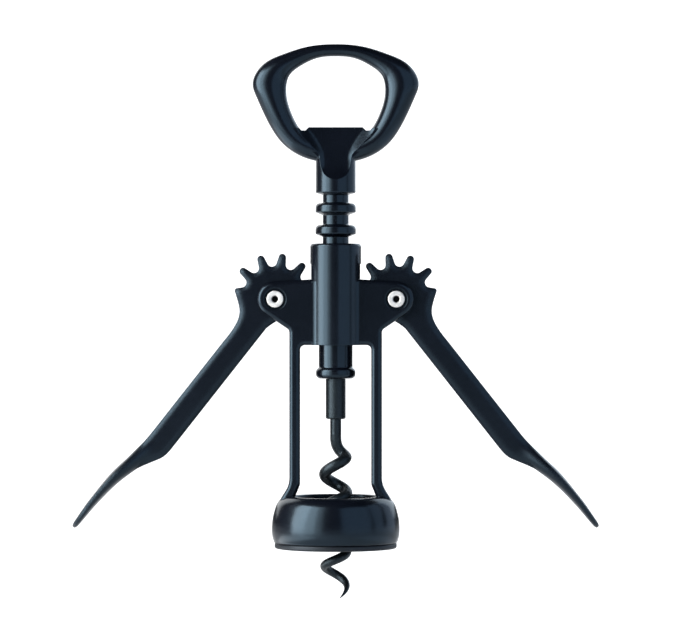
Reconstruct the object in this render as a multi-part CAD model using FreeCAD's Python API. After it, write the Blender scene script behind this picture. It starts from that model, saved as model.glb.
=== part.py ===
import FreeCAD, Part

import math
import os

from FreeCAD import Vector

os.makedirs("parts", exist_ok=True)

# A wing corkscrew with a bottle-opener handle. Lengths are in millimetres, angles in degrees.
# The origin is on the spindle's axis, in the plane of the bottle collar's bottom rim. +Z runs up
# to the handle, +X to the right lever, and the flat faces of frame and levers face -Y and +Y.

# ---- Driving dimensions -------------------------------------------------------------------

# Teeth and rings
RING_PITCH = 7.12           # from one ring to the next
TOOTH_STEP = 29.4           # angle from one tooth to the next
MESH_LINE_R = 5.88          # spindle axis to the line where teeth and rings roll together
MESH_LIFT = 0.30            # how far a tooth lies above the middle of its gap
RING_R = 6.58
RING_THICKNESS = 2.9
RING_TOP_EDGE_R = 1.2
RING_LOW_EDGE_R = 0.45
RING_CONE_HEIGHT = 0.95     # of the underside, from the rim down to the core
CORE_BLEND_R = 0.5          # hollow blend from a ring's top up to the core
RINGS_BELOW_MESH = 1
RINGS_ABOVE_MESH = 5

# Pivots and rest position
PIVOT_Z = 81.3
REST_ANGLE = 38.2           # of the arms from straight down

# Frame
RING_CLEARANCE = 0.22       # rings to the guide tube's bore
TUBE_WALL = 1.5
TUBE_RISE = 18.1            # tube's top above the pivots
TUBE_EDGE_R = 0.9
TUBE_BORE_CHAMFER = 0.4
CROSSBAR_DROP = 15.0        # crossbar's underside below the pivots
PLATE_DEPTH = 9.6           # crossbar, ears and legs, along Y
PLATE_EDGE_R = 1.3
PLATE_BLEND_R = 2.0         # hollow blend between the plate and the tube
EAR_R = 5.75
EAR_TOP_SLOPE = 3.3
EAR_UNDER_SLOPE = 34.0
EAR_UNDER_BLEND_R = 1.6
ARM_LEG_GAP = 1.07          # leg to a lever that hangs straight down
LEG_WIDTH = 3.48
WINDOW_CORNER_R = 1.6
SLOT_CLEARANCE = 0.2        # each side of the lever
SLOT_TIP_CLEARANCE = 0.4    # round the teeth's tips
SLOT_HALF_HEIGHT = 11.5     # slot in the tube's wall, each side of the pivots' height

# Bell and legs' feet
BELL_WALL = 2.95
BELL_LIP_Z = 16.9
BELL_LIP_WIDTH = 2.0
BELL_CEILING_T = 2.8
BELL_PROFILE = [            # inset from the widest radius, height above the foot
    (0.60, 0.5), (0.06, 2.8), (0.0, 4.6), (0.27, 8.0), (0.90, 10.6), (1.95, 13.2), (3.3, 14.5),
]
BELL_FOOT_EDGE_R = 0.5
BELL_MOUTH_EDGE_R = 0.7
FLARE_RISE = 3.9            # bend of the legs above the bell's lip
FLARE_REACH = 2.6           # outer edge's foot inside the bell's widest radius
FLARE_OUTER_R = 8.0
FLARE_INNER_R = 2.2
FLARE_SINK = 1.2            # legs' feet below the lip
FOOT_OVERHANG = 0.3         # legs' inner edges inside the bell's mouth
FOOT_MARGIN = 0.1
SHOULDER_REACH = 1.9        # of the bell's shoulder, outside the straight leg
SHOULDER_RISE = 2.1         # above the lip, where the leg's sides are free of it
SHOULDER_TOP = 6.0

# Bottle collar
COLLAR_OVERHANG = 2.05      # of the flange, outside the sleeve
COLLAR_FLANGE_T = 1.8
COLLAR_EDGE_R = 0.6
COLLAR_BORE_R = 15.4        # round a bottle's rim of up to 30 mm
COLLAR_WALL = 2.5
COLLAR_SEAT_T = 1.6
COLLAR_SEAT_WIDTH = 1.4

# Levers
LEVER_THICKNESS = 4.0
LEVER_EDGE_R = 0.55
TOOTH_TIP_RISE = 1.124      # outside the circle that rolls along the rings
TOOTH_ROOT_DROP = 3.226     # inside it
TOOTH_SPACE = 1.87          # gap between two rings, less a tooth's width
TOOTH_VALLEY_R = 1.62
TOOTH_COUNT = 7
TOP_TOOTH_ANGLE = 181.0     # of the tooth that points away from the arm
TEETH_BEFORE_TOP = 3
TEETH_TO_MESH = 2           # from that tooth to the one level with the pivot
STOP_TIP_DROP = 0.476       # inside the rolling circle
STOP_TIP_ANGLE = 64.6
STOP_ROUND_R = 0.8
STOP_SIDE_ANGLE = 62.6
STOP_BULGE = 0.12
LAST_VALLEY_SHARE = 0.42    # of a tooth's step, where the last valley's floor is nearly reached
LAST_VALLEY_RISE = 0.1
ARM_OUTER = 4.75
ARM_INNER = 3.6
STOP_HOLLOW = [             # along the arm and outward, from the stop tooth to the arm's edge
    (7.9, 9.4), (10.4, 6.6), (15.5, 4.9),
]
STOP_HOLLOW_END = 21.0
HUB_UNDERSIDE = [           # from the last valley to the arm's inner edge
    (1.5, -8.3), (6.2, -4.5),
]
HUB_UNDERSIDE_END = 9.4
ARM_STRAIGHT = 58.0         # pivot to where the arm's edges start to curve
PADDLE_REACH = 41.2         # from there to the tip
PADDLE_HALF_WIDTH = 6.8
ARM_TAPER_OUTER = [         # past the straight part, outward
    (0.0, ARM_OUTER), (6.0, 4.95), (11.0, 5.3), (16.0, 5.4),
]
ARM_TAPER_INNER = [
    (18.6, 4.0), (15.2, 2.0), (12.9, 1.0), (10.2, -0.4), (7.4, -2.0), (5.0, -3.15), (2.5, -3.55),
    (0.0, -ARM_INNER),
]
PADDLE_STATIONS = [         # past the straight part, inner edge, rim and outer edge, share of the width
    (-4.0, 0.6, 2.4, 4.2, 0.22),
    (2.0, 0.3, 2.9, 4.75, 0.28),
    (6.0, 0.3, 3.5, 5.1, 0.36),
    (10.0, 0.6, 4.2, 5.65, 0.53),
    (14.0, 1.5, 4.9, 6.25, 0.71),
    (19.0, 2.9, 5.5, 7.0, 0.88),
    (24.0, 3.8, 6.0, 7.2, 0.97),
    (30.0, 4.4, 6.2, 7.2, 1.0),
    (35.0, 4.65, 6.0, 6.95, 0.9),
    (38.2, 4.8, 5.9, 6.7, 0.64),
    (39.6, 5.05, 5.8, 6.45, 0.38),
    (40.0, 5.4, 5.75, 6.05, 0.16),
]

# Pivot rivets
RIVET_R = 2.0
RIVET_RUNNING_FIT = 0.06
RIVET_HEAD_R = 2.75
RIVET_HEAD_T = 0.75
RIVET_HEAD_EDGE_R = 0.3
RIVET_HOLE_R = 0.95
RIVET_HOLE_DEPTH = 2.2
RIVET_LIP_R = 0.6           # of the rolled edge round the hole
RECESS_R = 3.65
RECESS_DEPTH = 0.9
PRESS_FIT = 0.02            # pressed pieces, radial

# Rack, guide bush and ferrule
CORE_R = 4.23
TENON_R = 3.0
TENON_LENGTH = 5.2
TENON_END_GAP = 0.2
SOCKET_GAP = 4.9            # top ring's middle to the handle's socket
JOURNAL_R = 2.8
JOURNAL_FIT = 0.05
BUSH_R = 5.5
BUSH_DROP = 6.0             # lowest ring's middle to the bush's top
BUSH_LENGTH = 14.1
BEAD_R = 6.42
BEAD_LENGTH = 3.5
BEAD_EDGE_R = 1.3
BEAD_BLEND_R = 0.8          # hollow blend from the bead up to the bush
BUSH_END_GAP = 0.15
FERRULE_R = 3.25
FERRULE_LENGTH = 13.1
FERRULE_EDGE_R = 0.6

# Worm
WIRE_R = 1.82
WIRE_LOW_R = 1.38
WIRE_TIP_R = 0.12
WORM_SOCKET_DEPTH = 10.0    # shank inside the journal
HELIX_R = 3.62              # of the wire's middle
HELIX_DROP = 12.1           # ferrule's end to the first turn's right-hand side
HELIX_PITCH = 9.6
TOP_STRETCH = 2.4           # extra height of the first turn
LEAD_STRETCH = 56.0         # height of the lead-in, per turn squared
END_STRETCH = 7.5           # extra height of the end, per turn squared
LEAD_TURNS = 0.3
SETTLE_TURNS = 0.08         # after the first right-hand side, until the turns are full size
STRETCHED_FROM = 3.5        # turns before the end stretches
HELIX_TURNS = 4.19
TAPER_FROM = 1.5
POINT_TURNS = 0.34
POINT_POWER = 1.3           # above 1, the point's sides bulge
SECTIONS_PER_TURN = 24
SECTIONS_PER_PIECE = 12

# Handle, with heights above the socket's bottom
SOCKET_R = 6.52
SOCKET_EDGE_R = 0.45
SOCKET_CONE_HEIGHT = 0.7    # of the underside, from the rim down to the core
SHOULDER_BLEND_R = 1.4
LIP_HEIGHT = 21.4
LIP_HALF_WIDTH = 9.6
LIP_CHAMFER = 0.8
NOTCH_HEIGHT = 20.3
NOTCH_HALF_WIDTH = 11.2
NOTCH_SLOPE = 0.3
WEB_HALF_DEPTH = 3.65
WEB_BORDER = [              # from the notch down to the neck, inside the loop
    (11.9, 21.1),
    (14.4, 20.8),
    (14.2, 18.9),
    (12.4, 17.0),
    (9.6, 14.6),
    (7.0, 12.6),
]
WEB_FOOT_HEIGHT = 11.0
WEB_SINK = 1.2              # into the neck
SHOULDER_HEIGHT = 11.6
SHOULDER_HALF_DEPTH = 1.2
SHOULDER_SINK = 0.05        # inside the neck's round side, all along
PIN_R = 1.0
PIN_HEIGHT = 2.6
LOOP_STATIONS = [           # outer edge x and height, inner edge x and height, half depth
    (0.0, 48.60, 0.0, 44.60, 2.6),
    (9.2, 47.80, 6.2, 43.95, 2.8),
    (17.4, 45.25, 11.5, 41.45, 3.2),
    (24.2, 41.55, 14.9, 38.65, 3.8),
    (27.1, 36.40, 16.0, 35.70, 4.2),
    (26.0, 31.60, 16.0, 31.60, 4.3),
    (23.6, 26.20, 14.9, 27.30, 4.3),
    (20.6, 20.50, 12.9, 22.80, 4.3),
    (17.2, 16.00, 10.6, 19.60, 4.2),
    (12.6, 12.60, 7.6, 17.60, 4.0),
    (6.8, 10.50, 3.8, 16.60, 3.6),
    (0.0, 9.80, 0.0, 16.40, 3.4),
]
LOOP_SECTIONS_PER_SPAN = 3
HOLLOW_ROWS = [             # height, half thickness in the middle, half width of the flat, crest beside it
    (2.70, 7.60, 3.5, 6.5),
    (4.25, 6.50, 3.5, 6.5),
    (5.50, 5.60, 3.5, 6.5),
    (7.90, 4.35, 3.5, 6.5),
    (10.70, 3.60, 3.6, 6.5),
    (13.80, 2.75, 4.2, 8.4),
    (17.40, 1.98, 5.9, 12.4),
    (21.90, 1.22, 10.0, 14.2),
]
CREST_HALF_DEPTH = 4.35     # of the hollow's sides, just over the loop's
CREST_RISE = 0.6            # of the sides, at least, over the middle
HOLLOW_REACH = 15.0
HOLLOW_COLUMNS = 31
HOLLOW_LEVELS = 31

# ---- Sizes worked out from them -----------------------------------------------------------

PITCH_R = RING_PITCH / math.radians(TOOTH_STEP)
PIVOT_X = MESH_LINE_R + PITCH_R
TOOTH_TIP_R = PITCH_R + TOOTH_TIP_RISE
TOOTH_ROOT_R = PITCH_R - TOOTH_ROOT_DROP
TOOTH_TIP_WIDTH = RING_PITCH - RING_THICKNESS - TOOTH_SPACE
STOP_TIP_R = PITCH_R - STOP_TIP_DROP
TUBE_BORE_R = RING_R + RING_CLEARANCE
TUBE_R = TUBE_BORE_R + TUBE_WALL
TUBE_TOP_Z = PIVOT_Z + TUBE_RISE
CROSSBAR_Z = PIVOT_Z - CROSSBAR_DROP
LEG_OUTER_X = PIVOT_X - ARM_INNER - ARM_LEG_GAP
LEG_INNER_X = LEG_OUTER_X - LEG_WIDTH
HALF_DEPTH = PLATE_DEPTH / 2
HALF_LEVER = LEVER_THICKNESS / 2
SLOT_WIDTH = LEVER_THICKNESS + 2 * SLOT_CLEARANCE
SLOT_R = TOOTH_TIP_R + SLOT_TIP_CLEARANCE
BELL_MOUTH_R = COLLAR_BORE_R - COLLAR_SEAT_WIDTH
COLLAR_SLEEVE_R = COLLAR_BORE_R + COLLAR_WALL
COLLAR_FLANGE_R = COLLAR_SLEEVE_R + COLLAR_OVERHANG
BELL_BORE_R = COLLAR_SLEEVE_R + PRESS_FIT
BELL_R = BELL_BORE_R + BELL_WALL
BELL_CEILING_Z = BELL_LIP_Z - BELL_CEILING_T
RIVET_BORE_R = RIVET_R + RIVET_RUNNING_FIT

# Bearings of arm and teeth are taken from straight up, turning towards the spindle. The tooth
# that meshes at the level of the pivot sets the heights of the rack's gaps and rings.
ARM_BEARING = REST_ANGLE - 180
MESH_BEARING = TOP_TOOTH_ANGLE + TEETH_TO_MESH * TOOTH_STEP + ARM_BEARING
MESH_GAP_Z = PIVOT_Z - PITCH_R * math.radians(MESH_BEARING - 90) - MESH_LIFT
RING_HEIGHTS = [
    MESH_GAP_Z + (index + 0.5) * RING_PITCH for index in range(-RINGS_BELOW_MESH, RINGS_ABOVE_MESH)
]
SOCKET_Z = RING_HEIGHTS[-1] + SOCKET_GAP
SOCKET_FOOT_Z = SOCKET_Z - SOCKET_CONE_HEIGHT
BUSH_TOP_Z = RING_HEIGHTS[0] - BUSH_DROP
BUSH_BOTTOM_Z = BUSH_TOP_Z - BUSH_LENGTH
FERRULE_TOP_Z = BUSH_BOTTOM_Z - BUSH_END_GAP
FERRULE_BOTTOM_Z = FERRULE_TOP_Z - FERRULE_LENGTH
HELIX_TOP_Z = FERRULE_BOTTOM_Z - HELIX_DROP


# ---- Shared helpers -----------------------------------------------------------------------

PAST = 1.0                              # cutters run this far past a face
SAME = 1e-6                             # lengths this close are the same
QUARTER_MIDDLE = 1 - math.sqrt(0.5)     # from a round corner's tangents to its middle, for radius 1
X_AXIS = Vector(1, 0, 0)
Y_AXIS = Vector(0, 1, 0)
Z_AXIS = Vector(0, 0, 1)
ORIGIN = Vector(0, 0, 0)
UNIT_CIRCLE = Part.Circle(ORIGIN, Z_AXIS, 1.0)


def front_point(x, z):
    """A point of the plane that holds both pivots' centres and the spindle."""
    return Vector(x, 0, z)


def line(start, end):
    return Part.LineSegment(start, end).toShape()


def arc(start, middle, end):
    return Part.Arc(start, middle, end).toShape()


def spline(points):
    curve = Part.BSplineCurve()
    curve.interpolate(points)
    return curve.toShape()


def stretched(curve, centre, first, second):
    """A curve of the unit circle, stretched to two half axes round the centre."""
    normal = first.cross(second)
    stretch = FreeCAD.Matrix(
        first.x, second.x, normal.x, centre.x,
        first.y, second.y, normal.y, centre.y,
        first.z, second.z, normal.z, centre.z,
        0, 0, 0, 1,
    )
    return Part.Wire(curve.toShape()).transformGeometry(stretch).Edges


def ellipse(centre, first, second):
    return Part.Wire(stretched(UNIT_CIRCLE, centre, first, second))


def polygon_face(points):
    return Part.Face(Part.makePolygon(points + [points[0]]))


def rounded_face(corners):
    """A face in the front plane from (x, z, corner radius) in order."""
    edges = []
    count = len(corners)
    ends = []
    for index, (x, z, radius) in enumerate(corners):
        here = front_point(x, z)
        before = front_point(*corners[index - 1][:2]) - here
        after = front_point(*corners[(index + 1) % count][:2]) - here
        before.normalize()
        after.normalize()
        half_angle = before.getAngle(after) / 2
        reach = radius / math.tan(half_angle)
        centre_line = before + after
        ends.append((here + before * reach, here + after * reach))
        if radius:
            centre_line.normalize()
            middle = here + centre_line * (radius / math.sin(half_angle) - radius)
            edges.append(arc(ends[-1][0], middle, ends[-1][1]))
        else:
            edges.append(None)
    outline = []
    for index in range(count):
        if edges[index]:
            outline.append(edges[index])
        outline.append(line(ends[index][1], ends[(index + 1) % count][0]))
    return Part.Face(Part.Wire(outline))


def extrude_y(face, half_width):
    """The face, swept to both sides of the front plane."""
    moved = face.copy()
    moved.translate(Vector(0, -half_width, 0))
    return moved.extrude(Vector(0, 2 * half_width, 0))


def revolve(edges):
    """A body turned about the spindle's axis from edges in the front plane."""
    return Part.Face(Part.Wire(edges)).revolve(ORIGIN, Z_AXIS, 360)


def revolve_points(points):
    corners = [front_point(x, z) for x, z in points]
    return polygon_face(corners).revolve(ORIGIN, Z_AXIS, 360)


def tube(radius, bottom, top):
    return Part.makeCylinder(radius, top - bottom, front_point(0, bottom), Z_AXIS)


def cross_cylinder(radius, x, z, start_y, end_y):
    return Part.makeCylinder(radius, end_y - start_y, Vector(x, start_y, z), Y_AXIS)


def mirror_x(shape):
    return shape.mirror(ORIGIN, X_AXIS)


def sewn(faces):
    shell = Part.Shell(faces)
    shell.sewShape()
    return shell


def fillet_where(shape, radius, wanted):
    return shape.makeFillet(radius, [edge for edge in shape.Edges if wanted(edge)])


def edge_range(edge, axis):
    values = [getattr(vertex.Point, axis) for vertex in edge.Vertexes]
    return min(values), max(values)


def is_hoop(edge, radius, height):
    """True for a level circle about the spindle's axis."""
    box = edge.BoundBox
    level = abs(box.ZMin - height) < SAME and abs(box.ZMax - height) < SAME
    return level and len(edge.Vertexes) == 1 and abs(edge.Curve.Radius - radius) < SAME


def on_face(edge, side_y):
    low, high = edge_range(edge, "y")
    return abs(low - side_y) < SAME and abs(high - side_y) < SAME


# ---- Frame --------------------------------------------------------------------------------

def ear_corners():
    """The leg's outer corner under the ear, the ear's outer corner and the plate's top middle."""
    under = math.radians(EAR_UNDER_SLOPE)
    top = math.radians(EAR_TOP_SLOPE)
    # each edge is a tangent of the ear's round end: z = slope * x + height
    under_slope = math.tan(under)
    under_height = PIVOT_Z - EAR_R / math.cos(under) - under_slope * PIVOT_X
    top_slope = -math.tan(top)
    top_height = PIVOT_Z + EAR_R / math.cos(top) - top_slope * PIVOT_X
    tip_x = (top_height - under_height) / (under_slope - top_slope)
    return [
        (LEG_OUTER_X, under_slope * LEG_OUTER_X + under_height, EAR_UNDER_BLEND_R),
        (tip_x, under_slope * tip_x + under_height, EAR_R),
        (0.0, top_height, 0.0),
    ]


def plate():
    """Crossbar, ears and legs, with rounded front and back edges."""
    foot_z = BELL_LIP_Z - FLARE_SINK
    bend_z = BELL_LIP_Z + FLARE_RISE
    right = [
        (LEG_INNER_X, CROSSBAR_Z, WINDOW_CORNER_R),
        (LEG_INNER_X, bend_z, FLARE_INNER_R),
        (BELL_MOUTH_R - FOOT_OVERHANG, foot_z, 0.0),
        (BELL_R - FLARE_REACH, foot_z, 0.0),
        (LEG_OUTER_X, bend_z, FLARE_OUTER_R),
    ]
    ears = ear_corners()
    half = right + ears[:2]
    left = [(-x, z, radius) for x, z, radius in reversed(half)]
    body = extrude_y(rounded_face(half + ears[2:] + left), HALF_DEPTH)

    def wanted(edge):
        low, high = edge_range(edge, "z")
        at_foot = high - foot_z < SAME
        return not at_foot and (on_face(edge, -HALF_DEPTH) or on_face(edge, HALF_DEPTH))

    return fillet_where(body, PLATE_EDGE_R, wanted)


def foot_envelope():
    """Keeps the feet of the legs inside the bell's round shoulder."""
    foot_z = BELL_LIP_Z - FLARE_SINK
    return revolve_points([
        (0, foot_z),
        (BELL_R - FLARE_REACH + FOOT_MARGIN, foot_z),
        (LEG_OUTER_X + SHOULDER_REACH, BELL_LIP_Z + SHOULDER_RISE),
        (LEG_OUTER_X + SHOULDER_REACH, BELL_LIP_Z + SHOULDER_TOP),
        (PIVOT_X + 2 * EAR_R, PIVOT_Z - CROSSBAR_DROP),
        (PIVOT_X + 2 * EAR_R, TUBE_TOP_Z),
        (0, TUBE_TOP_Z),
    ])


def tube_blend():
    """The four hollow blends between the plate's faces and the guide tube."""
    centre_x = math.sqrt((TUBE_R + PLATE_BLEND_R) ** 2 - (HALF_DEPTH + PLATE_BLEND_R) ** 2)
    centre = Vector(centre_x, HALF_DEPTH + PLATE_BLEND_R, 0)
    on_plate = Vector(centre_x, HALF_DEPTH, 0)
    on_tube = centre * (TUBE_R / (TUBE_R + PLATE_BLEND_R))
    towards = (on_plate + on_tube) * 0.5 - centre
    towards.normalize()
    middle = centre + towards * PLATE_BLEND_R
    low_plate = on_plate - Vector(0, PAST, 0)
    inside = on_tube * ((TUBE_R - PAST) / TUBE_R)
    section = Part.Face(Part.Wire([
        line(low_plate, on_plate),
        arc(on_plate, middle, on_tube),
        line(on_tube, inside),
        line(inside, low_plate),
    ]))
    top_z = ear_corners()[2][1] - math.tan(math.radians(EAR_TOP_SLOPE)) * centre_x
    height = top_z - PLATE_EDGE_R / 2 - CROSSBAR_Z
    section.translate(Vector(0, 0, CROSSBAR_Z))
    blend = section.extrude(Vector(0, 0, height))
    pair = blend.fuse(mirror_x(blend))
    return pair.fuse(pair.mirror(ORIGIN, Y_AXIS))


def guide_tube():
    body = tube(TUBE_R, CROSSBAR_Z, TUBE_TOP_Z)
    return fillet_where(body, TUBE_EDGE_R, lambda edge: edge_range(edge, "z")[0] > TUBE_TOP_Z - SAME)


def bell():
    foot_z = COLLAR_FLANGE_T
    side = [front_point(BELL_R - inset, foot_z + height) for inset, height in BELL_PROFILE]
    lip = front_point(BELL_MOUTH_R + BELL_LIP_WIDTH, BELL_LIP_Z)
    foot_inset = QUARTER_MIDDLE * BELL_FOOT_EDGE_R
    foot = front_point(side[0].x - BELL_FOOT_EDGE_R, foot_z)
    foot_middle = front_point(side[0].x - foot_inset, foot_z + foot_inset)
    mouth_inset = QUARTER_MIDDLE * BELL_MOUTH_EDGE_R
    mouth_top = front_point(BELL_MOUTH_R + BELL_MOUTH_EDGE_R, BELL_LIP_Z)
    mouth = front_point(BELL_MOUTH_R, BELL_LIP_Z - BELL_MOUTH_EDGE_R)
    mouth_middle = front_point(BELL_MOUTH_R + mouth_inset, BELL_LIP_Z - mouth_inset)
    ceiling_in = front_point(BELL_MOUTH_R, BELL_CEILING_Z)
    ceiling_out = front_point(BELL_BORE_R, BELL_CEILING_Z)
    bore_foot = front_point(BELL_BORE_R, foot_z)
    return revolve([
        arc(foot, foot_middle, side[0]),
        spline(side + [lip]),
        line(lip, mouth_top),
        arc(mouth_top, mouth_middle, mouth),
        line(mouth, ceiling_in),
        line(ceiling_in, ceiling_out),
        line(ceiling_out, bore_foot),
        line(bore_foot, foot),
    ])


def lever_slot():
    """Room for the right lever's toothed hub, through ears, leg's head and tube wall."""
    half = SLOT_WIDTH / 2
    round_part = cross_cylinder(SLOT_R, PIVOT_X, PIVOT_Z, -half, half)
    wall_x = TUBE_BORE_R - TUBE_WALL
    height = 2 * SLOT_HALF_HEIGHT
    corner = Vector(wall_x, -half, PIVOT_Z - SLOT_HALF_HEIGHT)
    window = Part.makeBox(2 * TUBE_WALL + PAST, SLOT_WIDTH, height, corner)
    return round_part.fuse(window)


def pivot_holes():
    """Right-hand rivet hole with a recess in each ear's outer face."""
    outside_y = HALF_DEPTH + PAST
    hole = cross_cylinder(RIVET_R + PRESS_FIT, PIVOT_X, PIVOT_Z, -outside_y, outside_y)
    floor_y = HALF_DEPTH - RECESS_DEPTH
    back = cross_cylinder(RECESS_R, PIVOT_X, PIVOT_Z, floor_y, outside_y)
    front = cross_cylinder(RECESS_R, PIVOT_X, PIVOT_Z, -outside_y, -floor_y)
    return hole.fuse([front, back])


def tube_bore():
    chamfer = TUBE_BORE_CHAMFER
    wide_r = TUBE_BORE_R + chamfer
    return revolve_points([
        (0, CROSSBAR_Z - PAST),
        (wide_r, CROSSBAR_Z - PAST),
        (wide_r, CROSSBAR_Z),
        (TUBE_BORE_R, CROSSBAR_Z + chamfer),
        (TUBE_BORE_R, TUBE_TOP_Z - chamfer),
        (wide_r, TUBE_TOP_Z),
        (wide_r, TUBE_TOP_Z + PAST),
        (0, TUBE_TOP_Z + PAST),
    ])


def frame():
    body = plate().common(foot_envelope())
    body = body.fuse([tube_blend(), guide_tube(), bell()])
    cuts = [tube_bore()]
    for tool in (lever_slot(), pivot_holes()):
        cuts += [tool, mirror_x(tool)]
    return body.cut(cuts).removeSplitter()


# ---- Bottle collar ------------------------------------------------------------------------

def bottle_collar():
    top_z = BELL_CEILING_Z
    seat_z = top_z - COLLAR_SEAT_T
    body = revolve_points([
        (COLLAR_BORE_R, 0),
        (COLLAR_FLANGE_R, 0),
        (COLLAR_FLANGE_R, COLLAR_FLANGE_T),
        (COLLAR_SLEEVE_R, COLLAR_FLANGE_T),
        (COLLAR_SLEEVE_R, top_z),
        (BELL_MOUTH_R, top_z),
        (BELL_MOUTH_R, seat_z),
        (COLLAR_BORE_R, seat_z),
    ])

    def wanted(rim):
        low, high = edge_range(rim, "z")
        radius = abs(rim.Vertexes[0].X)
        on_rim = radius > COLLAR_FLANGE_R - SAME and high - low < SAME
        at_mouth = abs(radius - COLLAR_BORE_R) < SAME and high < SAME
        return on_rim or at_mouth

    return fillet_where(body, COLLAR_EDGE_R, wanted)


# ---- Levers -------------------------------------------------------------------------------
# A lever is drawn with its arm straight down and its outer side towards +X, about its pivot.

def lever_point(along, outward):
    return Vector(outward, 0, -along)


def bearing_point(radius, angle):
    """A point at an angle from the arm's direction, turning by the outer side."""
    turn = math.radians(angle)
    return lever_point(radius * math.cos(turn), radius * math.sin(turn))


def flank(tip, valley, tip_r, valley_r):
    """Ends of the straight flank that touches a tooth's round tip and the valley beside it."""
    across = valley - tip
    spread = math.acos((tip_r + valley_r) / across.Length)
    across.normalize()
    choices = []
    for side in (1, -1):
        turned = FreeCAD.Rotation(Y_AXIS, math.degrees(side * spread)).multVec(across)
        choices.append(turned)
    outward = Vector(tip)
    outward.normalize()
    normal = max(choices, key=lambda way: way.dot(outward))
    return tip + normal * tip_r, valley - normal * valley_r


def toothed_edge():
    """Edges from the stop tooth's tip round the teeth to the last valley's floor."""
    tip_r = TOOTH_TIP_WIDTH / 2
    tip_centre_r = TOOTH_TIP_R - tip_r
    valley_centre_r = TOOTH_ROOT_R + TOOTH_VALLEY_R
    first = TOP_TOOTH_ANGLE - TEETH_BEFORE_TOP * TOOTH_STEP
    angles = [first + index * TOOTH_STEP for index in range(TOOTH_COUNT)]
    stop_tip = bearing_point(STOP_TIP_R - STOP_ROUND_R, STOP_TIP_ANGLE)
    edges = []
    leaving = None
    for index, angle in enumerate(angles):
        tip = bearing_point(tip_centre_r, angle)
        before = bearing_point(valley_centre_r, angle - TOOTH_STEP / 2)
        after = bearing_point(valley_centre_r, angle + TOOTH_STEP / 2)
        if index == 0:
            stop_end, valley_start = flank(stop_tip, before, STOP_ROUND_R, TOOTH_VALLEY_R)
            start = stop_end
            edges.append(line(stop_end, valley_start))
            leaving = valley_start
        tip_start, valley_end = flank(tip, before, tip_r, TOOTH_VALLEY_R)
        floor = bearing_point(TOOTH_ROOT_R, angle - TOOTH_STEP / 2)
        edges.append(arc(leaving, floor, valley_end))
        edges.append(line(valley_end, tip_start))
        tip_end, valley_start = flank(tip, after, tip_r, TOOTH_VALLEY_R)
        edges.append(arc(tip_start, bearing_point(TOOTH_TIP_R, angle), tip_end))
        edges.append(line(tip_end, valley_start))
        leaving = valley_start
    last_floor = bearing_point(TOOTH_ROOT_R, angles[-1] + TOOTH_STEP / 2)
    middle = bearing_point(TOOTH_ROOT_R + LAST_VALLEY_RISE, angles[-1] + TOOTH_STEP * LAST_VALLEY_SHARE)
    edges.append(arc(leaving, middle, last_floor))
    return edges, start, last_floor


def past_straight(stations):
    return [lever_point(ARM_STRAIGHT + along, outward) for along, outward in stations]


def lever_blank():
    """The flat part: toothed hub and arm down to its thin end under the paddle, as one face."""
    teeth, start, end = toothed_edge()
    outer = past_straight(ARM_TAPER_OUTER)
    inner = past_straight(ARM_TAPER_INNER)
    stop_side = bearing_point(STOP_TIP_R, STOP_SIDE_ANGLE)
    stop_round = arc(stop_side, bearing_point(STOP_TIP_R + STOP_BULGE, STOP_TIP_ANGLE), start)
    hollow = [stop_side] + [lever_point(*place) for place in STOP_HOLLOW]
    hollow.append(lever_point(STOP_HOLLOW_END, ARM_OUTER))
    hub = [end] + [lever_point(*place) for place in HUB_UNDERSIDE]
    hub.append(lever_point(HUB_UNDERSIDE_END, -ARM_INNER))
    outline = [spline(inner), line(inner[0], outer[-1]), spline(outer), line(outer[0], hollow[-1])]
    outline += [spline(hollow), stop_round]
    outline += teeth
    outline += [spline(hub), line(hub[-1], inner[-1])]
    return Part.Face(Part.Wire(Part.__sortEdges__(outline)))


def paddle_section(along, low, rim, high, share):
    """A lens across the arm, widest at its rim."""
    reach = along * PADDLE_REACH / PADDLE_STATIONS[-1][0]
    centre = lever_point(ARM_STRAIGHT + reach, rim)
    half_width = Y_AXIS * (PADDLE_HALF_WIDTH * share)
    half_circle = Part.ArcOfCircle(UNIT_CIRCLE, 0, math.pi)
    upper = stretched(half_circle, centre, half_width, X_AXIS * (high - rim))
    lower = stretched(half_circle, centre, half_width * -1, X_AXIS * (low - rim))
    return Part.Wire(upper + lower)


def paddle():
    return Part.makeLoft([paddle_section(*station) for station in PADDLE_STATIONS], True, False)


def lever():
    """The right lever about its own pivot, with its arm straight down."""
    body = extrude_y(lever_blank(), HALF_LEVER)
    end_z = -ARM_STRAIGHT - ARM_TAPER_OUTER[-1][0]

    def wanted(edge):
        at_end = edge_range(edge, "z")[1] < end_z + SAME
        return not at_end and (on_face(edge, -HALF_LEVER) or on_face(edge, HALF_LEVER))

    body = fillet_where(body, LEVER_EDGE_R, wanted)
    body = body.fuse(paddle()).removeSplitter()
    outside_y = HALF_LEVER + PAST
    return body.cut(cross_cylinder(RIVET_BORE_R, 0, 0, -outside_y, outside_y))


def right_lever():
    body = lever()
    body.rotate(ORIGIN, Y_AXIS, -REST_ANGLE)
    body.translate(front_point(PIVOT_X, PIVOT_Z))
    return body


# ---- Pivot rivets -------------------------------------------------------------------------

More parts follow.
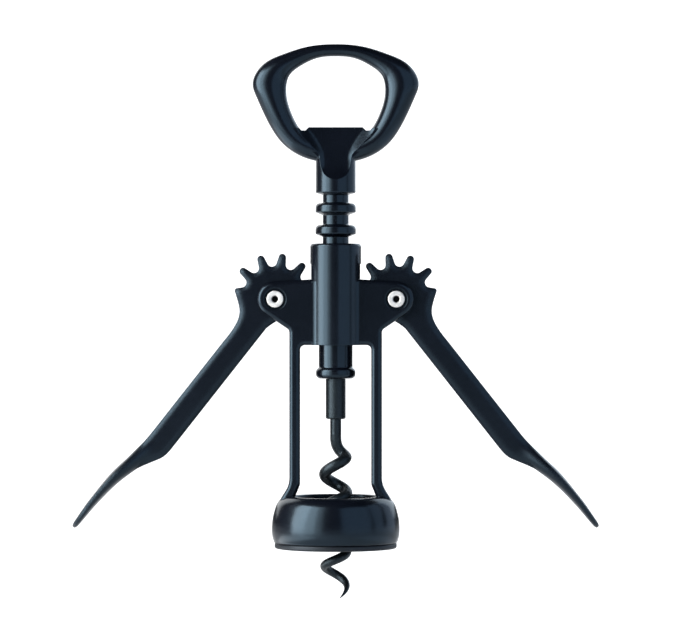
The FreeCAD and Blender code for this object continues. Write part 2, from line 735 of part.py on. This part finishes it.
def right_pivot_rivet():
    """A semi-tubular rivet: its clinched, hollow end at the front and its plain head behind."""
    seat_y = HALF_DEPTH - RECESS_DEPTH
    shank = cross_cylinder(RIVET_R, PIVOT_X, PIVOT_Z, -seat_y, seat_y)
    heads = []
    for start, end in ((-seat_y - RIVET_HEAD_T, -seat_y), (seat_y, seat_y + RIVET_HEAD_T)):
        head = cross_cylinder(RIVET_HEAD_R, PIVOT_X, PIVOT_Z, start, end)
        outer_y = start if start < 0 else end
        heads.append(fillet_where(head, RIVET_HEAD_EDGE_R, lambda edge: on_face(edge, outer_y)))
    front_y = -seat_y - RIVET_HEAD_T
    hole = cross_cylinder(RIVET_HOLE_R, PIVOT_X, PIVOT_Z, front_y - PAST, front_y + RIVET_HOLE_DEPTH)
    body = shank.fuse(heads).removeSplitter().cut(hole)

    def lip(edge):
        size = edge.BoundBox
        return on_face(edge, front_y) and max(size.XLength, size.ZLength) < 2 * RIVET_HOLE_R + SAME

    return fillet_where(body, RIVET_LIP_R, lip)


# ---- Spindle ------------------------------------------------------------------------------

def rounded_ring(radius, bottom, top, edge_r):
    body = tube(radius, bottom, top)
    return fillet_where(body, edge_r, lambda edge: len(edge.Vertexes) == 1)


def pin_bar(radius, past):
    """A bar along the handle pin, running past the socket's sides."""
    reach = SOCKET_R + past
    return Part.makeCylinder(radius, 2 * reach, front_point(-reach, SOCKET_Z + PIN_HEIGHT), X_AXIS)


def cone_footed(radius, bottom, top, foot_height, edge_r):
    """A short cylinder with a cone below it, down to the spindle's core."""
    body = revolve_points([
        (0, top), (radius, top), (radius, bottom), (CORE_R, bottom - foot_height), (0, bottom - foot_height),
    ])
    return fillet_where(body, edge_r, lambda edge: is_hoop(edge, radius, bottom))


def spindle_ring(middle):
    top = middle + RING_THICKNESS / 2
    low = middle - RING_THICKNESS / 2
    body = cone_footed(RING_R, low, top, RING_CONE_HEIGHT, RING_LOW_EDGE_R)
    return fillet_where(body, RING_TOP_EDGE_R, lambda edge: is_hoop(edge, RING_R, top))


def rack():
    shoulder_z = BUSH_TOP_Z + BUSH_END_GAP
    body = tube(CORE_R, shoulder_z, SOCKET_FOOT_Z)
    for height in RING_HEIGHTS:
        top = height + RING_THICKNESS / 2
        body = body.fuse(spindle_ring(height))
        body = fillet_where(body, CORE_BLEND_R, lambda edge: is_hoop(edge, CORE_R, top))
    body = body.fuse(tube(TENON_R, SOCKET_FOOT_Z, SOCKET_FOOT_Z + TENON_LENGTH))
    body = body.fuse(tube(JOURNAL_R, FERRULE_TOP_Z, shoulder_z))
    socket = tube(WIRE_R + PRESS_FIT, FERRULE_TOP_Z - PAST, FERRULE_TOP_Z + WORM_SOCKET_DEPTH)
    return body.cut([socket, pin_bar(PIN_R + PRESS_FIT, PAST)]).removeSplitter()


def is_bead_joint(edge):
    """True for the circle where the bead's round top meets the bush."""
    low, high = edge_range(edge, "z")
    level = BUSH_BOTTOM_Z + BEAD_LENGTH / 2 < low and high < BUSH_BOTTOM_Z + BEAD_LENGTH + SAME
    return level and len(edge.Vertexes) == 1 and abs(edge.Curve.Radius - BUSH_R) < SAME


def guide_bush():
    body = tube(BUSH_R, BUSH_BOTTOM_Z, BUSH_TOP_Z)
    bead = rounded_ring(BEAD_R, BUSH_BOTTOM_Z, BUSH_BOTTOM_Z + BEAD_LENGTH, BEAD_EDGE_R)
    body = body.fuse(bead)
    body = fillet_where(body, BEAD_BLEND_R, is_bead_joint)
    bore = tube(JOURNAL_R + JOURNAL_FIT, BUSH_BOTTOM_Z - PAST, BUSH_TOP_Z + PAST)
    return body.cut(bore).removeSplitter()


def worm_ferrule():
    body = tube(FERRULE_R, FERRULE_BOTTOM_Z, FERRULE_TOP_Z)

    def at_bottom(edge):
        return edge_range(edge, "z")[1] < FERRULE_BOTTOM_Z + SAME

    body = fillet_where(body, FERRULE_EDGE_R, at_bottom)
    return body.cut(tube(WIRE_R + PRESS_FIT, FERRULE_BOTTOM_Z - PAST, FERRULE_TOP_Z + PAST))


def smooth_step(value):
    clamped = min(max(value, 0.0), 1.0)
    return clamped * clamped * (3 - 2 * clamped)


def worm_height(turns):
    """The wire's middle after so many turns, above the first turn's right-hand side."""
    height = -HELIX_PITCH * turns
    if turns < 0:
        return height + LEAD_STRETCH * turns ** 2
    height -= TOP_STRETCH * smooth_step(turns)
    return height - END_STRETCH * max(turns - STRETCHED_FROM, 0.0) ** 2


def outward(turns):
    angle = -2 * math.pi * turns
    return Vector(math.cos(angle), math.sin(angle), 0)


def worm_middle(turns):
    radius = HELIX_R * smooth_step((turns + LEAD_TURNS) / (LEAD_TURNS + SETTLE_TURNS))
    return outward(turns) * radius + Z_AXIS * worm_height(turns)


def wire_radius(turns):
    share = (turns - TAPER_FROM) / (HELIX_TURNS - POINT_TURNS - TAPER_FROM)
    radius = WIRE_R + (WIRE_LOW_R - WIRE_R) * min(max(share, 0.0), 1.0)
    point = (turns - HELIX_TURNS + POINT_TURNS) / POINT_TURNS
    return radius + (WIRE_TIP_R - radius) * max(point, 0.0) ** POINT_POWER


def worm_section(turns):
    """The wire's round section, square to its path."""
    step = 1e-3
    if turns <= -LEAD_TURNS:
        way = Vector(0, 0, -1)
    else:
        way = worm_middle(turns + step) - worm_middle(turns - step)
    way.normalize()
    second = way.cross(outward(turns))
    second.normalize()
    first = second.cross(way)
    radius = wire_radius(turns)
    return ellipse(worm_middle(turns), first * radius, second * radius)


def worm():
    """Shank and coil, sewn from their outer faces and moved into place as one body."""
    total = HELIX_TURNS + LEAD_TURNS
    count = round(total * SECTIONS_PER_TURN)
    sections = [worm_section(-LEAD_TURNS + total * index / count) for index in range(count + 1)]
    shank_top_z = FERRULE_TOP_Z + WORM_SOCKET_DEPTH - TENON_END_GAP - HELIX_TOP_Z
    shank_end = sections[0].copy()
    shank_end.translate(Z_AXIS * (shank_top_z - worm_height(-LEAD_TURNS)))
    faces = [Part.Face(shank_end), Part.Face(sections[-1])]
    faces += Part.makeLoft([shank_end, sections[0]], False, True).Faces
    for first in range(0, count, SECTIONS_PER_PIECE):
        faces += Part.makeLoft(sections[first:first + SECTIONS_PER_PIECE + 1], False, False).Faces
    body = Part.makeSolid(sewn(faces))
    body.translate(Z_AXIS * HELIX_TOP_Z)
    return body


# ---- Handle -------------------------------------------------------------------------------

def loop_section(outer_x, outer_height, inner_x, inner_height, half_depth):
    """An ellipse from the loop's outer edge to its inner edge."""
    outer = front_point(outer_x, SOCKET_Z + outer_height)
    inner = front_point(inner_x, SOCKET_Z + inner_height)
    centre = (outer + inner) * 0.5
    across = (outer - inner) * 0.5
    return ellipse(centre, across, Y_AXIS * half_depth)


def mirrored(station):
    outer_x, outer_height, inner_x, inner_height, half_depth = station
    return (-outer_x, outer_height, -inner_x, inner_height, half_depth)


def smooth_stations(stations, per_span):
    """The stations with more between them, read off smooth curves through them."""
    middles = [Vector(station[0] + station[2], station[1] + station[3], 0) * 0.5 for station in stations]
    knots = [0.0]
    for before, after in zip(middles, middles[1:]):
        knots.append(knots[-1] + (after - before).Length)
    edges = Part.BSplineCurve()
    edges.interpolate(Points=[Vector(*station[:3]) for station in stations], Parameters=knots)
    depths = Part.BSplineCurve()
    depths.interpolate(Points=[Vector(station[3], station[4], 0) for station in stations], Parameters=knots)
    dense = []
    for low, high in zip(knots, knots[1:]):
        for step in range(per_span):
            here = low + (high - low) * step / per_span
            first = edges.value(here)
            second = depths.value(here)
            dense.append((first.x, first.y, first.z, second.x, second.y))
    return dense + [stations[-1]]


def loop():
    """The opener's ring: its right half, lofted past the middle, cut there and mirrored."""
    stations = [mirrored(station) for station in LOOP_STATIONS[2:0:-1]] + LOOP_STATIONS
    stations += [mirrored(station) for station in LOOP_STATIONS[-2:-4:-1]]
    sections = [loop_section(*station) for station in smooth_stations(stations, LOOP_SECTIONS_PER_SPAN)]
    half = Part.makeLoft(sections, True, False)
    reach = LOOP_STATIONS[0][1] + PAST
    keep = Part.makeBox(reach, reach, reach, Vector(0, -reach / 2, SOCKET_Z))
    half = half.common(keep)
    return half.fuse(mirror_x(half))


def hollow_point(x, height, middle, flat, crest):
    side = max(CREST_HALF_DEPTH, middle + CREST_RISE)
    share = smooth_step((abs(x) - flat) / (crest - flat))
    return Vector(x, -middle - (side - middle) * share, SOCKET_Z + height)


def even_steps(low, high, count):
    return [low + (high - low) * index / (count - 1) for index in range(count)]


def hollows():
    """Cutters for the dished front and back of the web and neck."""
    heights = [row[0] for row in HOLLOW_ROWS]
    shape = Part.BSplineCurve()
    shape.interpolate(Points=[Vector(*row[1:]) for row in HOLLOW_ROWS], Parameters=heights)
    columns = even_steps(-HOLLOW_REACH, HOLLOW_REACH, HOLLOW_COLUMNS)
    grid = []
    for height in even_steps(heights[0], heights[-1], HOLLOW_LEVELS):
        grid.append([hollow_point(x, height, *shape.value(height)) for x in columns])
    surface = Part.BSplineSurface()
    surface.interpolate(grid)
    front = surface.toShape().extrude(Y_AXIS * -2 * SOCKET_R)
    return [front, front.mirror(ORIGIN, Y_AXIS)]


def both_sides(corners):
    """A face from the corners of the right side and their mirror images."""
    left = [(-x, height) for x, height in reversed(corners)]
    return polygon_face([front_point(x, SOCKET_Z + height) for x, height in corners + left])


def web():
    """The plate between the neck and the lip, before its faces are hollowed."""
    right = [
        (LIP_HALF_WIDTH - LIP_CHAMFER, LIP_HEIGHT),
        (LIP_HALF_WIDTH, LIP_HEIGHT - LIP_CHAMFER),
        (LIP_HALF_WIDTH + NOTCH_SLOPE, NOTCH_HEIGHT),
        (NOTCH_HALF_WIDTH, NOTCH_HEIGHT),
    ]
    right += WEB_BORDER + [(SOCKET_R - WEB_SINK, WEB_FOOT_HEIGHT)]
    return extrude_y(both_sides(right), WEB_HALF_DEPTH)


def shoulders():
    """The hollow corners between the neck and the loop."""
    side = math.sqrt(SOCKET_R ** 2 - SHOULDER_HALF_DEPTH ** 2) - SHOULDER_SINK
    reach = side + 2 * SHOULDER_BLEND_R
    level = SOCKET_Z + SHOULDER_HEIGHT
    right = [
        (side - WEB_SINK, level + SHOULDER_BLEND_R, 0.0),
        (reach, level + SHOULDER_BLEND_R, 0.0),
        (reach, level, 0.0),
        (side, level, SHOULDER_BLEND_R),
        (side, level - 2 * SHOULDER_BLEND_R, 0.0),
        (side - WEB_SINK, level - 2 * SHOULDER_BLEND_R, 0.0),
    ]
    corner = extrude_y(rounded_face(right), SHOULDER_HALF_DEPTH)
    return [corner, mirror_x(corner)]


def handle():
    socket = cone_footed(SOCKET_R, SOCKET_Z, SOCKET_Z + NOTCH_HEIGHT, SOCKET_CONE_HEIGHT, SOCKET_EDGE_R)
    dishes = hollows()
    middle = web().fuse([socket] + shoulders()).cut(dishes)
    body = loop().cut(dishes).fuse(middle)
    bore = tube(TENON_R + PRESS_FIT, SOCKET_FOOT_Z - PAST, SOCKET_FOOT_Z + TENON_LENGTH + TENON_END_GAP)
    return body.cut([bore, pin_bar(PIN_R + PRESS_FIT, PAST)]).removeSplitter()


def handle_pin():
    """Cross pin through socket and tenon, with its ends flush with the socket."""
    return pin_bar(PIN_R, 0).common(tube(SOCKET_R, SOCKET_FOOT_Z, SOCKET_Z + LIP_HEIGHT))


# ---- All pieces ---------------------------------------------------------------------------

def build():
    lever_right = right_lever()
    rivet_right = right_pivot_rivet()
    return {
        "frame": frame(),
        "bottle_collar": bottle_collar(),
        "left_lever": mirror_x(lever_right),
        "right_lever": lever_right,
        "left_pivot_rivet": mirror_x(rivet_right),
        "right_pivot_rivet": rivet_right,
        "handle": handle(),
        "rack": rack(),
        "handle_pin": handle_pin(),
        "guide_bush": guide_bush(),
        "worm_ferrule": worm_ferrule(),
        "worm": worm(),
    }


for node, shape in build().items():
    if len(shape.Solids) != 1 or not shape.isValid():
        raise RuntimeError(node + " is not one valid solid")
    shape.Solids[0].exportStep("parts/" + node + ".step")
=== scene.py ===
import math

import bpy
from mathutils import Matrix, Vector


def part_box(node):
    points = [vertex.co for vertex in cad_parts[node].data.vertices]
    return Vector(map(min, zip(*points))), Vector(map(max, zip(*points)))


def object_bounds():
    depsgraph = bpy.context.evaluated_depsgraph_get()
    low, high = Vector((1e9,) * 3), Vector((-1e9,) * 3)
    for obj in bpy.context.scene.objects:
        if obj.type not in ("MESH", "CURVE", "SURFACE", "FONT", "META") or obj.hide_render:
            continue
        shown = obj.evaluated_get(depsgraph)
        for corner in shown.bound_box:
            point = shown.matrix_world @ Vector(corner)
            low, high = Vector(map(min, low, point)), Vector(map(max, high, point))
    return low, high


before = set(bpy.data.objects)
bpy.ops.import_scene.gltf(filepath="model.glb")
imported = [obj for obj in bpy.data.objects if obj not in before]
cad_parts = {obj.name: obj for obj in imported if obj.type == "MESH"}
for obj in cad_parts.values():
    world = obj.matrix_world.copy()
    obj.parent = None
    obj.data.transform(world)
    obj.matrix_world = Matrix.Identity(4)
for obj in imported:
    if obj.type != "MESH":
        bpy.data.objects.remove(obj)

cad_low, cad_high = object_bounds()

# Lengths are in metres, angles in degrees and colours linear, unless a name says otherwise.

# ---- The photo's frame -----------------------------------------------------------------------

FRAME_WIDTH_PX = 700
MIDDLE_PX = (350, 312)
METRES_PER_PX = 0.3267e-3               # at the plane of both pivots
AXIS_PX = 335.7                         # the spindle's axis, across the picture
RIM_PX = 548                            # the bottle collar's rim, down the picture
CAMERA_DISTANCE = 1.15
SENSOR_MM = 36.0

# ---- Materials' sizes and tints --------------------------------------------------------------

ENAMEL_TINT = (0.53, 0.80, 1.0, 1.0)    # of the light that the enamel reflects
COATING_TINT = (0.64, 0.86, 1.0, 1.0)
PLASTIC_TINT = (0.75, 0.88, 1.0, 1.0)
HAZE = 0.06                             # share of the enamel's wide, soft reflection
HAZE_ROUGHNESS = (0.46, 0.56)
GLOSS_LOW = 0.92                        # shares of the enamel's roughness, from speck to speck
GLOSS_HIGH = 1.1
EDGE_SAMPLES = 10                       # rays that soften the enamel's edges

rivet_low, rivet_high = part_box("right_pivot_rivet")
PIVOT_X = (rivet_low[0] + rivet_high[0]) / 2
PIVOT_Z = (rivet_low[2] + rivet_high[2]) / 2
HOLLOW_SHADE_R = 0.0009                       # painted shade: the dark in a rivet's hollow end is full up to here,
HOLLOW_SHADE_END_R = 0.0013                   # and ends here

# ---- Stage -----------------------------------------------------------------------------------

FLOOR_DROP = 0.06                       # from the worm's tip down to the floor
FLOOR_Z = cad_low[2] - FLOOR_DROP
FLOOR_RADIUS = 6.0
FLOOR_SIDES = 96

SWEEP_DISTANCE = 1.5                    # from the object to the backdrop's upright part
SWEEP_BEND = 0.25                       # radius of its curve up from the floor
SWEEP_STEPS = 12
SWEEP_HALF_WIDTH = 0.34
SWEEP_HEIGHT = 0.46

PAPER = (0.62, 0.62, 0.62, 1.0)
PAPER_MOTTLE = 0.04
GLOW = 0.24                             # strength of the paper's glow, where it isn't white
WHITE_Y = (0.30, 0.50)                  # it rises to 1, which is white, behind the object,
WHITE_X = (0.12, 0.18)                  # and falls again at either side
WHITE_FLARE = 0.14                      # how far the white area widens per metre along Y

LIGHT_TARGET = Vector((0.0, 0.0, 0.08))
PANEL_LIFT = 0.005                      # of the lights that lie on the floor

PLAIN = (1.0, 1.0, 1.0)
BLUE = (0.64, 0.78, 1.0)
PALE_BLUE = (0.80, 0.90, 1.0)
WORLD_COLOUR = (0.97, 0.985, 1.0, 1.0)
WORLD_STRENGTH = 0.03


# ---- Node helpers ----------------------------------------------------------------------------

class Nodes:
    """A material's node tree, with short calls to add and link nodes."""

    def __init__(self, name):
        self.material = bpy.data.materials.new(name)
        self.material.use_nodes = True
        self.tree = self.material.node_tree
        self.tree.nodes.clear()
        self.output = self.tree.nodes.new("ShaderNodeOutputMaterial")
        self.place = self.tree.nodes.new("ShaderNodeTexCoord").outputs["Object"]

    def add(self, kind, inputs=None, **settings):
        """Add a node. Its inputs, by name or number, are linked to a socket or set to a value."""
        node = self.tree.nodes.new("ShaderNode" + kind)
        for key, value in settings.items():
            setattr(node, key, value)
        for key, value in (inputs or {}).items():
            if isinstance(value, bpy.types.NodeSocket):
                self.tree.links.new(value, node.inputs[key])
            else:
                node.inputs[key].default_value = value
        return node

    def noise(self, scale, detail=3.0, roughness=0.55):
        inputs = {"Vector": self.place, "Scale": scale, "Detail": detail, "Roughness": roughness}
        return self.add("TexNoise", inputs).outputs["Fac"]

    def spread(self, value, low, high, from_low=0.3, from_high=0.7):
        """Map from_low..from_high to low..high, and hold the ends beyond. Most noise is inside."""
        inputs = {
            "Value": value, "From Min": from_low, "From Max": from_high, "To Min": low, "To Max": high,
        }
        return self.add("MapRange", inputs).outputs["Result"]

    def calc(self, operation, *values):
        return self.add("Math", dict(enumerate(values)), operation=operation).outputs[0]

    def mix(self, share, first, second):
        """Mix two colours. The numbers are the sockets of a Mix node that is set to colour."""
        return self.add("Mix", {0: share, 6: first, 7: second}, data_type="RGBA").outputs[2]

    def shades(self, noise, dark, light):
        return self.mix(self.spread(noise, 0.0, 1.0), dark, light)

    def bump(self, height, distance, normal=None):
        inputs = {"Height": height, "Distance": distance, "Strength": 1.0}
        if normal is not None:
            inputs["Normal"] = normal
        return self.add("Bump", inputs).outputs["Normal"]

    def show(self, shader):
        self.tree.links.new(shader.outputs[0], self.output.inputs["Surface"])
        return self.material

    def finish(self, **inputs):
        """Make the material a Principled BSDF, whose inputs are named with _ for each space."""
        values = {key.replace("_", " "): value for key, value in inputs.items()}
        return self.show(self.add("BsdfPrincipled", values))


# ---- Materials -------------------------------------------------------------------------------

def enamel(name, dark, light, roughness, edge_r):
    """Satin stoved enamel: a fine orange peel over faint unevenness, thick and soft at edges."""
    nodes = Nodes(name)
    cloud = nodes.noise(scale=90.0, detail=4.0)
    speck = nodes.noise(scale=3200.0, detail=2.0)
    peel = nodes.noise(scale=1500.0, detail=2.0, roughness=0.5)
    wave = nodes.noise(scale=240.0, detail=2.0)
    gloss = nodes.spread(speck, roughness * GLOSS_LOW, roughness * GLOSS_HIGH)
    edges = nodes.add("Bevel", {"Radius": edge_r}, samples=EDGE_SAMPLES).outputs["Normal"]
    normal = nodes.bump(wave, distance=2.0e-5, normal=edges)
    normal = nodes.bump(peel, distance=4.5e-6, normal=normal)
    return nodes.finish(
        Base_Color=nodes.shades(cloud, dark, light), Roughness=gloss, Normal=normal,
        Specular_IOR_Level=0.5, Specular_Tint=ENAMEL_TINT,
        Coat_Weight=HAZE, Coat_Roughness=nodes.spread(cloud, *HAZE_ROUGHNESS), Coat_Normal=normal,
    )


def rough_coating(name):
    """The worm's and the ferrule's coating: dark and grainy like fine sand."""
    nodes = Nodes(name)
    grain = nodes.noise(scale=2200.0, roughness=0.7)
    coarse = nodes.noise(scale=1000.0, detail=2.0)
    normal = nodes.bump(coarse, distance=9.0e-5)
    normal = nodes.bump(grain, distance=1.1e-4, normal=normal)
    colour = nodes.shades(grain, dark=(0.0008, 0.0012, 0.0018, 1.0), light=(0.008, 0.010, 0.012, 1.0))
    return nodes.finish(
        Base_Color=colour, Roughness=nodes.spread(grain, low=0.42, high=0.24), Normal=normal,
        Specular_IOR_Level=0.5, Specular_Tint=COATING_TINT,
    )


def plastic(name):
    """The collar's dark moulded plastic."""
    nodes = Nodes(name)
    cloud = nodes.noise(scale=60.0)
    mould = nodes.noise(scale=1500.0, detail=2.0)
    colour = nodes.shades(cloud, dark=(0.006, 0.007, 0.009, 1.0), light=(0.012, 0.014, 0.018, 1.0))
    return nodes.finish(
        Base_Color=colour, Roughness=nodes.spread(mould, low=0.42, high=0.52),
        Normal=nodes.bump(mould, distance=6.0e-6),
        Specular_IOR_Level=0.45, Specular_Tint=PLASTIC_TINT,
    )


def nickel(name):
    """Nickel plate with the riveting tool's dents and scuffs, and painted shade in the hollow ends."""
    nodes = Nodes(name)
    scuff = nodes.noise(scale=1400.0, detail=4.0, roughness=0.6)
    dent = nodes.noise(scale=650.0, detail=2.0)
    plate = nodes.shades(scuff, dark=(0.80, 0.79, 0.76, 1.0), light=(0.93, 0.92, 0.90, 1.0))
    place = nodes.add("SeparateXYZ", {"Vector": nodes.place}).outputs
    aside = nodes.calc("ABSOLUTE", place["X"])
    off_axis = nodes.add("CombineXYZ", {"X": aside, "Z": place["Z"]}).outputs["Vector"]
    pivot = {0: off_axis, 1: (PIVOT_X, 0.0, PIVOT_Z)}
    from_pivot = nodes.add("VectorMath", pivot, operation="DISTANCE").outputs["Value"]
    # Painted shade: near black around the pivot's axis, where the rivet's end is hollow, fading out a
    # little farther off.
    hollow_shade = nodes.spread(from_pivot, 1.0, 0.0, HOLLOW_SHADE_R, HOLLOW_SHADE_END_R)
    normal = nodes.bump(dent, distance=1.5e-4)
    normal = nodes.bump(scuff, distance=6.0e-6, normal=normal)
    return nodes.finish(
        # The near-black colour is the painted shade in the hollow ends.
        Base_Color=nodes.mix(hollow_shade, plate, (0.02, 0.02, 0.02, 1.0)), Metallic=1.0,
        Roughness=nodes.spread(scuff, low=0.50, high=0.68), Normal=normal,
    )


def steel(name):
    nodes = Nodes(name)
    mark = nodes.noise(scale=1800.0)
    colour = nodes.shades(mark, dark=(0.40, 0.40, 0.41, 1.0), light=(0.55, 0.55, 0.56, 1.0))
    return nodes.finish(
        Base_Color=colour, Metallic=1.0, Roughness=nodes.spread(mark, low=0.3, high=0.45),
        Normal=nodes.bump(mark, distance=1.0e-5),
    )


def studio_white(name):
    """Pale paper that glows white behind the object, to the camera and in reflections alike."""
    nodes = Nodes(name)
    mottle = nodes.spread(nodes.noise(scale=60.0), low=0.0, high=PAPER_MOTTLE)
    tone = nodes.mix(mottle, PAPER, (0.0, 0.0, 0.0, 1.0))
    diffuse = nodes.add("BsdfDiffuse", {"Color": tone})

    place = nodes.add("SeparateXYZ", {"Vector": nodes.place}).outputs
    aside = nodes.calc("ABSOLUTE", place["X"])
    aside = nodes.calc("MULTIPLY_ADD", place["Y"], -WHITE_FLARE, aside)
    behind = nodes.spread(place["Y"], 0.0, 1.0, *WHITE_Y)
    white = nodes.calc("MULTIPLY", behind, nodes.spread(aside, 1.0, 0.0, *WHITE_X))
    strength = nodes.calc("MULTIPLY_ADD", white, 1.0 - GLOW, GLOW)

    rays = nodes.add("LightPath").outputs
    seen = nodes.calc("MAXIMUM", rays["Is Camera Ray"], rays["Is Glossy Ray"])
    seen = nodes.calc("MAXIMUM", seen, rays["Is Transmission Ray"])
    strength = nodes.calc("MULTIPLY", strength, seen)
    glow = nodes.add("Emission", {"Color": (1.0, 1.0, 1.0, 1.0), "Strength": strength})
    return nodes.show(nodes.add("AddShader", {0: diffuse.outputs[0], 1: glow.outputs[0]}))


def dress(material, *nodes):
    for node in nodes:
        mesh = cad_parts[node].data
        mesh.materials.clear()
        mesh.materials.append(material)


def dress_all():
    cast = enamel(
        "cast_enamel", dark=(0.0015, 0.0023, 0.0053, 1.0), light=(0.0028, 0.0040, 0.0082, 1.0),
        roughness=0.22, edge_r=0.0003,
    )
    # The same enamel as the cast parts with a lighter base colour: painted light that brightens the
    # levers' flat faces.
    lever_painted_light = enamel(
        "lever_enamel_painted_light", dark=(0.0020, 0.0030, 0.0064, 1.0), light=(0.0036, 0.0050, 0.0096, 1.0),
        roughness=0.22, edge_r=0.0036,
    )
    # The same enamel with a darker base colour: painted shade that darkens the rack and the guide
    # bush.
    turned_painted_shade = enamel(
        "turned_enamel_painted_shade", dark=(0.0012, 0.0019, 0.0042, 1.0), light=(0.0022, 0.0031, 0.0064, 1.0),
        roughness=0.20, edge_r=0.0004,
    )
    dress(cast, "frame", "handle")
    dress(lever_painted_light, "left_lever", "right_lever")
    dress(turned_painted_shade, "rack", "guide_bush")
    dress(rough_coating("worm_coating"), "worm_ferrule", "worm")
    dress(nickel("nickel"), "left_pivot_rivet", "right_pivot_rivet")
    dress(plastic("collar_plastic"), "bottle_collar")
    dress(steel("pin_steel"), "handle_pin")


# ---- Floor and backdrop ----------------------------------------------------------------------

def mesh_object(name, points, faces, material):
    mesh = bpy.data.meshes.new(name)
    mesh.from_pydata(points, [], faces)
    mesh.update()
    mesh.materials.append(material)
    for face in mesh.polygons:
        face.use_smooth = True
    item = bpy.data.objects.new(name, mesh)
    bpy.context.scene.collection.objects.link(item)
    return item


def floor(material):
    """A round floor a little below the worm's tip."""
    points = [(0.0, 0.0, FLOOR_Z)]
    for index in range(FLOOR_SIDES):
        angle = 2 * math.pi * index / FLOOR_SIDES
        points.append((FLOOR_RADIUS * math.cos(angle), FLOOR_RADIUS * math.sin(angle), FLOOR_Z))
    faces = [(0, 1 + index, 1 + (index + 1) % FLOOR_SIDES) for index in range(FLOOR_SIDES)]
    item = mesh_object("floor", points, faces, material)


def backdrop(material):
    """A sheet behind the object that rises from the floor in a curve."""
    profile = []
    for step in range(SWEEP_STEPS + 1):
        angle = math.pi / 2 * step / SWEEP_STEPS
        y = SWEEP_DISTANCE - SWEEP_BEND + SWEEP_BEND * math.sin(angle)
        profile.append((y, FLOOR_Z + SWEEP_BEND * (1 - math.cos(angle))))
    profile.append((SWEEP_DISTANCE, FLOOR_Z + SWEEP_HEIGHT))
    points = []
    for side in (-SWEEP_HALF_WIDTH, SWEEP_HALF_WIDTH):
        points += [(side, y, z) for y, z in profile]
    count = len(profile)
    faces = [(index, index + 1, count + index + 1, count + index) for index in range(count - 1)]
    item = mesh_object("backdrop", points, faces, material)


# ---- Light and camera ------------------------------------------------------------------------

def area_light(name, location, rotation, size, power, colour):
    """A rectangular light that shines but isn't in the picture."""
    data = bpy.data.lights.new(name, "AREA")
    data.shape = "RECTANGLE"
    data.size, data.size_y = size
    data.energy = power
    data.color = colour
    item = bpy.data.objects.new(name, data)
    item.location = location
    item.rotation_euler = rotation
    item.visible_camera = False
    bpy.context.scene.collection.objects.link(item)


def softbox(name, azimuth, elevation, distance, size, power, colour=PLAIN):
    """A light that faces the object. Azimuth 0 is the camera's side, positive to the right."""
    turn = math.radians(azimuth)
    rise = math.radians(elevation)
    level = math.cos(rise)
    way = Vector((math.sin(turn) * level, -math.cos(turn) * level, math.sin(rise)))
    rotation = way.to_track_quat("Z", "Y").to_euler()
    area_light(name, LIGHT_TARGET + way * distance, rotation, size, power, colour)


def floor_panel(name, x, y, size, power, colour=PLAIN):
    """A light that lies just over the floor and shines up."""
    area_light(name, (x, y, FLOOR_Z + PANEL_LIFT), (math.pi, 0.0, 0.0), size, power, colour)


def lights():
    softbox("key_main", -72.0, 14.0, distance=0.9, size=(0.44, 1.0), power=10.8)
    softbox("key_next", -49.0, 14.0, distance=0.9, size=(0.34, 1.0), power=5.2)
    softbox("key_edge", -33.0, 14.0, distance=0.9, size=(0.26, 1.0), power=1.45)
    floor_panel("bounce_left", -0.32, -0.05, size=(0.30, 0.45), power=0.9)
    floor_panel("bounce_right", 0.32, -0.05, size=(0.30, 0.45), power=0.15, colour=BLUE)
    softbox("fill_front_right", 40.0, 8.0, distance=1.3, size=(1.4, 1.8), power=6.6, colour=BLUE)
    softbox("fill_right", 105.0, 8.0, distance=1.3, size=(1.5, 1.8), power=6.8, colour=BLUE)
    softbox("back_left", -150.0, 22.0, distance=1.3, size=(0.7, 0.9), power=3.0)
    softbox("back_right", 152.0, 22.0, distance=1.3, size=(0.9, 0.9), power=4.0, colour=PALE_BLUE)


def surroundings():
    world = bpy.data.worlds.new("world")
    world.use_nodes = True
    background = world.node_tree.nodes["Background"]
    background.inputs["Color"].default_value = WORLD_COLOUR
    background.inputs["Strength"].default_value = WORLD_STRENGTH
    bpy.context.scene.world = world


def camera():
    """A level camera, whose frame lays the part where the photo shows it."""
    data = bpy.data.cameras.new("camera")
    data.sensor_width = SENSOR_MM
    data.lens = SENSOR_MM * CAMERA_DISTANCE / (FRAME_WIDTH_PX * METRES_PER_PX)
    item = bpy.data.objects.new("camera", data)
    x = (MIDDLE_PX[0] - AXIS_PX) * METRES_PER_PX
    z = (RIM_PX - MIDDLE_PX[1]) * METRES_PER_PX
    item.location = (x, -CAMERA_DISTANCE, z)
    item.rotation_euler = (math.pi / 2, 0.0, 0.0)
    bpy.context.scene.collection.objects.link(item)
    bpy.context.scene.camera = item


dress_all()
studio = studio_white("studio_white")
floor(studio)
backdrop(studio)
lights()
surroundings()
camera()
bpy.context.scene.view_settings.view_transform = "Standard"
